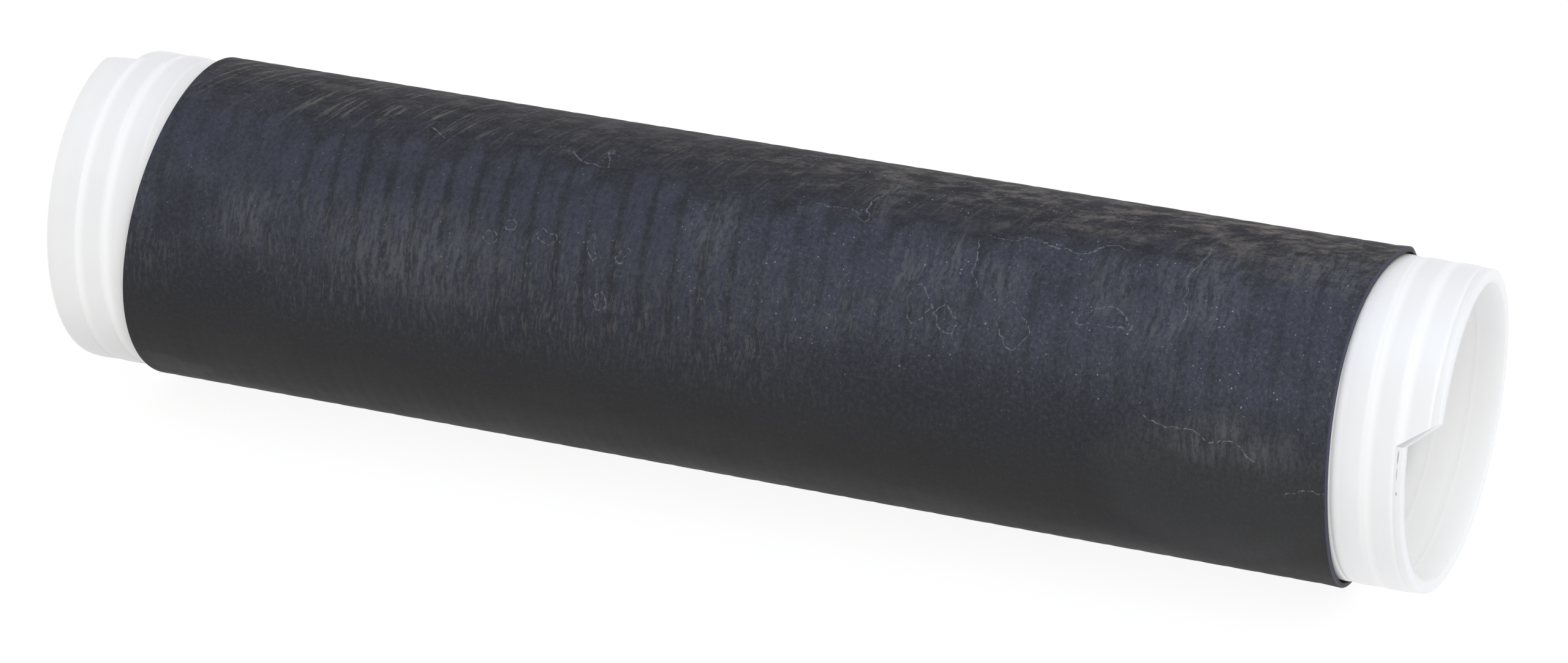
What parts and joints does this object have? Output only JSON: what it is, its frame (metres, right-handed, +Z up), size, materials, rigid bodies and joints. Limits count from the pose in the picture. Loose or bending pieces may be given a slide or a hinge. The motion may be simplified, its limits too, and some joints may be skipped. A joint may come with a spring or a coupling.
{
  "type": "cold shrink tube",
  "caption": "Stretched rubber sleeve held open by a removable spiral-wound plastic core, for insulating and sealing cable joints.",
  "frame": {"origin": "on the floor under the tube's axis, midway between the ends of the core", "axes": "+X along the tube's axis towards the end whose ribbon shows its flange, +Z up from the floor, +Y to complete a right-handed frame"},
  "size_m": [0.354, 0.0806, 0.0806],
  "materials": {
    "black_rubber": "dull stretched rubber, dusty, with fine ribs where the core's turns press through",
    "milky_plastic": "milky translucent polypropylene with a soft sheen"
  },
  "bodies": {
    "root": {"rubber_sleeve": "black_rubber", "spiral_core": "milky_plastic"}
  },
  "joints": []
}
